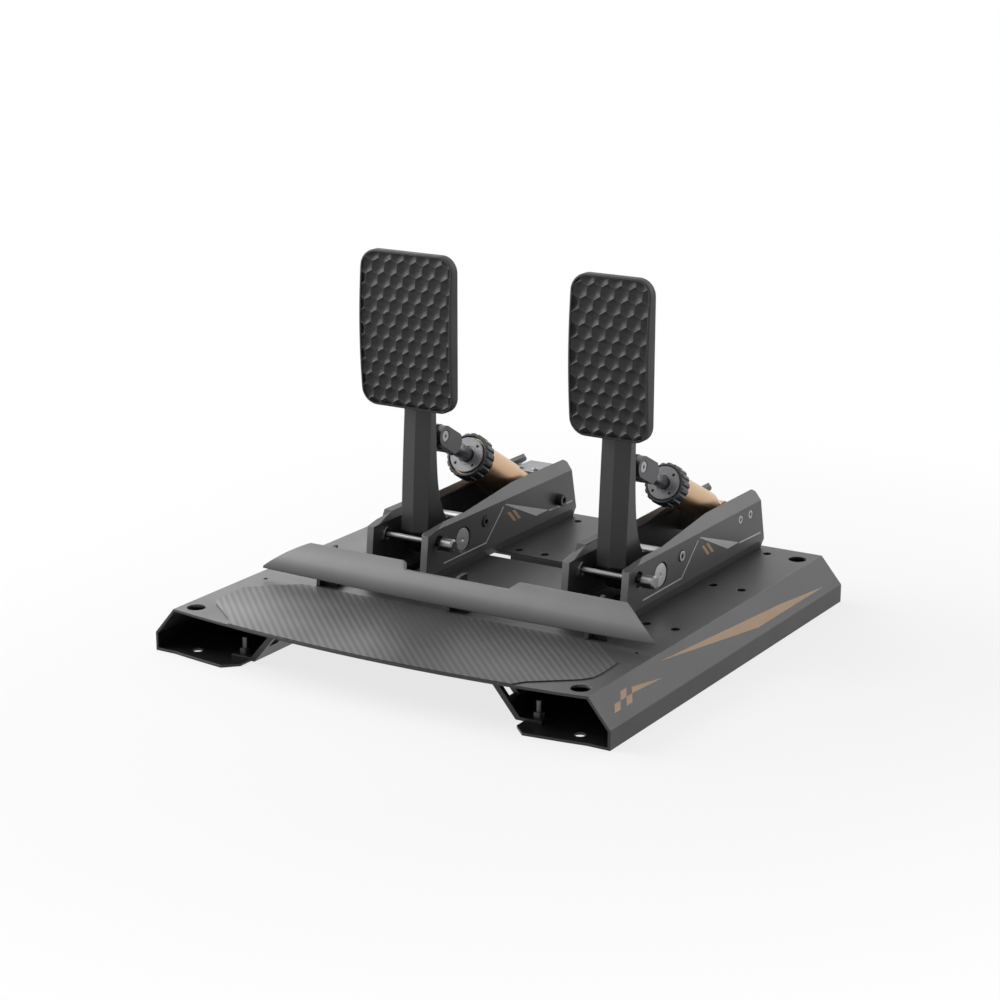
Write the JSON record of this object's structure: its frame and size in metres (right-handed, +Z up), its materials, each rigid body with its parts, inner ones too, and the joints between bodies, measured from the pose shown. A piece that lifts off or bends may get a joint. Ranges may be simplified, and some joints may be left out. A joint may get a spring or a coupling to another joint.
{
  "type": "sim racing pedal set",
  "caption": "Wide low metal base with a bowed foot rest and a curved heel stop, carrying brake and throttle pedals on folded side plates, each pushed back by an inclined damper.",
  "frame": {"origin": "on the floor under the middle of the base's bounding box", "axes": "+X to the driver's right along the base, +Y away from the driver, +Z up"},
  "size_m": [0.396, 0.398, 0.2932],
  "materials": {
    "base_paint": "satin powder coat, near black",
    "frame_paint": "satin powder coat, dark grey",
    "arm_paint": "satin anodised black",
    "heel_paint": "satin powder coat, mid grey",
    "grip": "thin sheet with a soft twill grain",
    "black_metal": "black coated steel",
    "steel": "bare turned steel",
    "grey_alloy": "fine grained satin alloy",
    "bronze": "bronze anodised, smooth turned",
    "ring_black": "black with a soft shine",
    "face_black": "satin black with fine grain",
    "rubber": "dull black rubber",
    "board": "green circuit board",
    "box_plastic": "moulded black plastic",
    "magnet": "plated"
  },
  "bodies": {
    "frame": {"base_plate": "base_paint", "foot_grip_sheet": "grip", "heel_stop": "heel_paint", "heel_stop_brackets": "black_metal", "heel_stop_screws": "black_metal", "left_deck_brace": "base_paint", "right_deck_brace": "base_paint", "brace_studs": "steel", "brace_nuts": "steel", "controller_box": "box_plastic", "controller_board": "board", "controller_screws": "steel", "deck_bolts": "black_metal", "tie_rods": "steel", "spacer_tubes": "steel", "frame_nuts": "steel", "pivot_bearings": "steel", "brake_left_side_plate": "frame_paint", "brake_right_side_plate": "frame_paint", "brake_frame_screw": "black_metal", "brake_sensor_housing": "box_plastic", "brake_sensor_board": "board", "brake_load_cell": "grey_alloy", "brake_load_cell_screws": "steel", "brake_rear_bolt": "black_metal", "brake_rear_nut": "steel", "throttle_left_side_plate": "frame_paint", "throttle_right_side_plate": "frame_paint", "throttle_frame_screw": "steel", "throttle_sensor_housing": "box_plastic", "throttle_sensor_board": "board", "throttle_rear_mount": "grey_alloy", "throttle_rear_pin": "steel", "throttle_mount_screws": "steel"},
    "brake_pedal": {"brake_pivot_axle": "steel", "brake_pedal_arm": "arm_paint", "brake_face_bracket": "black_metal", "brake_pedal_face": "face_black", "brake_face_screws": "black_metal", "brake_sensor_magnet": "magnet"},
    "brake_damper": {"brake_damper_cylinder": "bronze", "brake_damper_end_cap": "grey_alloy", "brake_rubber_stack": "rubber"},
    "brake_ring": {"brake_preload_ring": "ring_black"},
    "brake_rod": {"brake_piston_rod": "steel", "brake_rod_fork": "arm_paint", "brake_fork_pin": "steel"},
    "throttle_pedal": {"throttle_pivot_axle": "steel", "throttle_pedal_arm": "arm_paint", "throttle_face_bracket": "black_metal", "throttle_pedal_face": "face_black", "throttle_face_screws": "black_metal", "throttle_sensor_magnet": "magnet"},
    "throttle_damper": {"throttle_damper_cylinder": "bronze", "throttle_damper_end_cap": "grey_alloy", "throttle_return_spring": "steel"},
    "throttle_ring": {"throttle_preload_ring": "ring_black"},
    "throttle_rod": {"throttle_piston_rod": "steel", "throttle_rod_fork": "arm_paint", "throttle_fork_pin": "steel"}
  },
  "joints": [
    {"name": "brake_press", "type": "hinge", "parent": "frame", "child": "brake_pedal", "pos_m": [-0.075, 0.014, 0.061], "axis": [-1, 0, 0], "range_deg": [0, 10], "stiffness_Nm_per_rad": 60, "springref_deg": -8.59},
    {"name": "brake_damper_swing", "type": "hinge", "parent": "frame", "child": "brake_damper", "pos_m": [-0.075, 0.163, 0.058], "axis": [-1, 0, 0], "range_deg": [0, 2.05]},
    {"name": "brake_rod_slide", "type": "slide", "parent": "brake_damper", "child": "brake_rod", "axis": [0, 0.8653, -0.5013], "range_m": [0, 0.01306], "deforming": ["brake_rubber_stack"]},
    {"name": "brake_ring_turn", "type": "hinge", "parent": "brake_damper", "child": "brake_ring", "pos_m": [-0.075, 0.06992, 0.11192], "axis": [0, 0.8653, -0.5013], "range_deg": [-180, 180]},
    {"name": "throttle_press", "type": "hinge", "parent": "frame", "child": "throttle_pedal", "pos_m": [0.102, 0.014, 0.061], "axis": [-1, 0, 0], "range_deg": [0, 15], "stiffness_Nm_per_rad": 14, "springref_deg": -8.59},
    {"name": "throttle_damper_swing", "type": "hinge", "parent": "frame", "child": "throttle_damper", "pos_m": [0.102, 0.1582, 0.071], "axis": [-1, 0, 0], "range_deg": [0, 2.63]},
    {"name": "throttle_rod_slide", "type": "slide", "parent": "throttle_damper", "child": "throttle_rod", "axis": [0, 0.8915, -0.4531], "range_m": [0, 0.02025], "deforming": ["throttle_return_spring"]},
    {"name": "throttle_ring_turn", "type": "hinge", "parent": "throttle_damper", "child": "throttle_ring", "pos_m": [0.102, 0.07199, 0.11482], "axis": [0, 0.8915, -0.4531], "range_deg": [-180, 180]}
  ],
  "couplings": [
    {"joint": "brake_damper_swing", "follows": "brake_press", "ratio": 0.2025},
    {"joint": "brake_rod_slide", "follows": "brake_press", "m_per_rad": 0.074058},
    {"joint": "throttle_damper_swing", "follows": "throttle_press", "ratio": 0.1735},
    {"joint": "throttle_rod_slide", "follows": "throttle_press", "m_per_rad": 0.076586}
  ]
}
